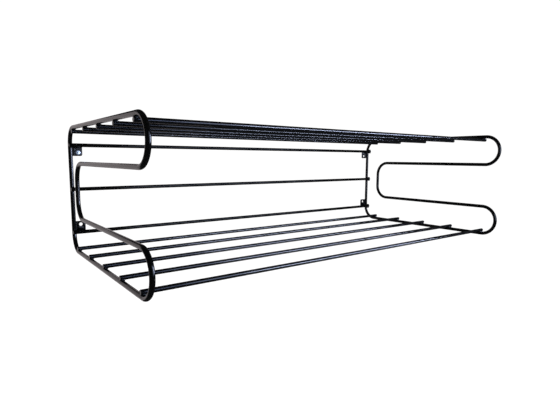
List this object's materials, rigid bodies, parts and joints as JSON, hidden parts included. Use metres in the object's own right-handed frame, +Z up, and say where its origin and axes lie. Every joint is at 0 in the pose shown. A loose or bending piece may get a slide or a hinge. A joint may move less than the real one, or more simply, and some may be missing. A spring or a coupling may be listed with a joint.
{
  "type": "wall-mounted wire rack",
  "caption": "Wall-mounted rack of bent and welded black steel rod: open shelves of straight bars one above the other, a notched loop at each end and drilled tabs for wall screws.",
  "frame": {"origin": "middle of the bounding box, on the plane that the bottom rails stand on", "axes": "+X to the right along the cross bars as seen from the front, +Y towards the wall, +Z up; the front bends of the side loops face -Y"},
  "size_m": [0.7064, 0.3652, 0.2005],
  "materials": {
    "black_enamel": "glossy stoved enamel on steel rod",
    "zinc_plate": "bright zinc plating"
  },
  "bodies": {
    "root": {"side_frame_left": "black_enamel", "side_frame_right": "black_enamel", "top_shelf_bar_1": "black_enamel", "top_shelf_bar_2": "black_enamel", "top_shelf_bar_3": "black_enamel", "top_shelf_bar_4": "black_enamel", "top_shelf_bar_5": "black_enamel", "bottom_shelf_bar_1": "black_enamel", "bottom_shelf_bar_2": "black_enamel", "bottom_shelf_bar_3": "black_enamel", "bottom_shelf_bar_4": "black_enamel", "bottom_shelf_bar_5": "black_enamel", "back_bar_lower": "black_enamel", "back_bar_middle": "black_enamel", "back_bar_upper": "black_enamel", "wall_tab_lower_left": "black_enamel", "wall_tab_lower_right": "black_enamel", "wall_tab_upper_left": "black_enamel", "wall_tab_upper_right": "black_enamel", "wall_screw_left": "zinc_plate"}
  },
  "joints": []
}
